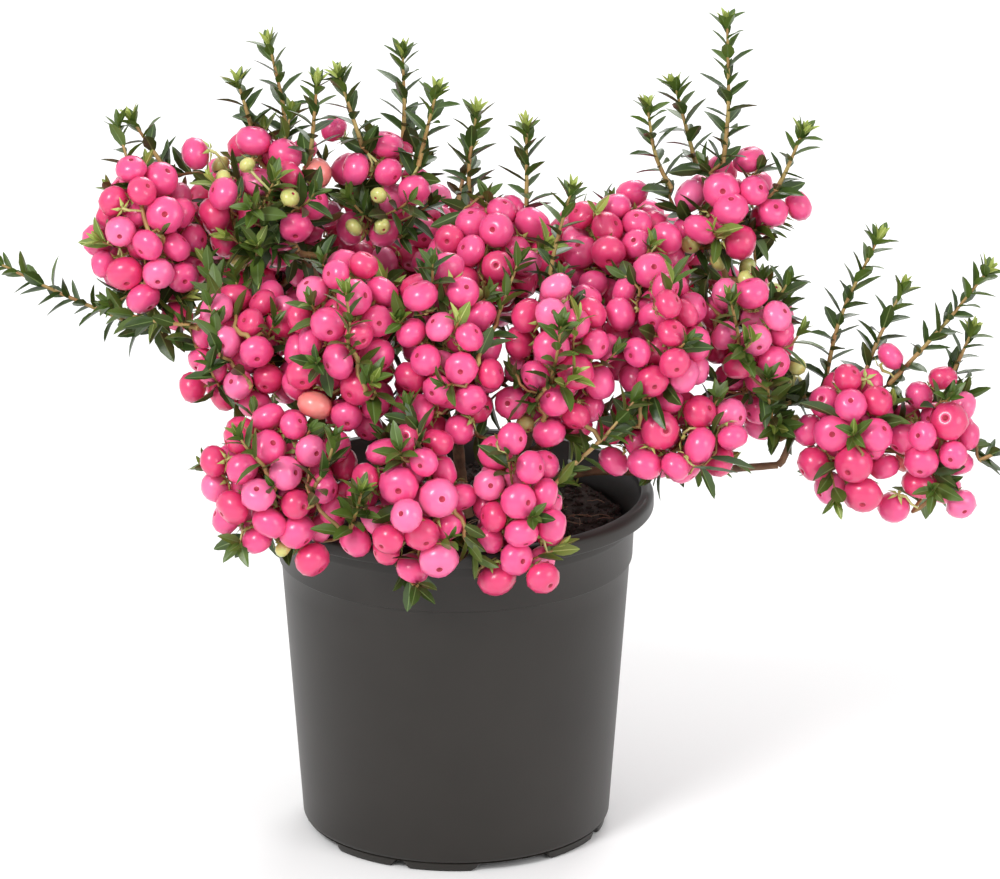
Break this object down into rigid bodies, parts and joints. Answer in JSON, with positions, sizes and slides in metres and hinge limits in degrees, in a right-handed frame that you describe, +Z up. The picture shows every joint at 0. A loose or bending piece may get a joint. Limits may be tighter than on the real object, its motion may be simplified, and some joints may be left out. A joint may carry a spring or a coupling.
{
  "type": "potted prickly heath",
  "caption": "Small evergreen shrub in a round tapered nursery pot, with thin branching stems, small pointed leaves and dense clusters of round pink berries, for display",
  "frame": {"origin": "On the floor, under the middle of the plant's spread; the pot stands on the plane Z = 0 and its axis is 14 mm to the left of the origin", "axes": "+X to the right of the pictured front, along the plant's widest spread; +Y to the back; +Z up"},
  "size_m": [0.33, 0.167, 0.269],
  "materials": {
    "pot_plastic": "satin",
    "soil": "matte",
    "bark": "matte",
    "berries": "gloss",
    "leaves": "satin"
  },
  "bodies": {
    "root": {"bough_back_left": "bark", "bough_back_right": "bark", "bough_far_left": "bark", "bough_front_left": "bark", "bough_front_middle": "bark", "bough_front_right": "bark", "bough_low_right": "bark", "bough_low_right_rise": "bark", "bough_right_side": "bark", "bough_rim_left": "bark", "bough_rim_middle": "bark", "crown_back_left": "berries", "crown_back_middle": "berries", "crown_back_right": "berries", "crown_back_side": "berries", "crown_centre_crest": "berries", "crown_far_left": "berries", "crown_front_centre": "berries", "crown_front_left": "berries", "crown_front_right": "berries", "crown_left_middle": "berries", "crown_left_top": "berries", "crown_middle_top": "berries", "crown_right_crest": "berries", "crown_right_low": "berries", "crown_right_middle": "berries", "crown_right_side": "berries", "crown_right_top": "berries", "outlier_inner": "berries", "outlier_left": "berries", "outlier_right": "berries", "pot": "pot_plastic", "rim_left": "berries", "rim_middle": "berries", "rim_right": "berries", "shoot_back_middle": "leaves", "shoot_crest_front": "leaves", "shoot_crest_left": "leaves", "shoot_crest_right": "leaves", "shoot_far_left": "leaves", "shoot_left_cut": "leaves", "shoot_left_first": "leaves", "shoot_left_inner": "leaves", "shoot_left_tall": "leaves", "shoot_middle_cut": "leaves", "shoot_middle_first": "leaves", "shoot_middle_last": "leaves", "shoot_outlier_first": "leaves", "shoot_outlier_long": "leaves", "shoot_outlier_low": "leaves", "shoot_outlier_right": "leaves", "shoot_outlier_second": "leaves", "shoot_right_first": "leaves", "shoot_right_last": "leaves", "shoot_right_second": "leaves", "shoot_right_tall": "leaves", "soil": "soil", "stem_left": "bark", "stem_middle": "bark", "stem_right": "bark"}
  },
  "joints": []
}
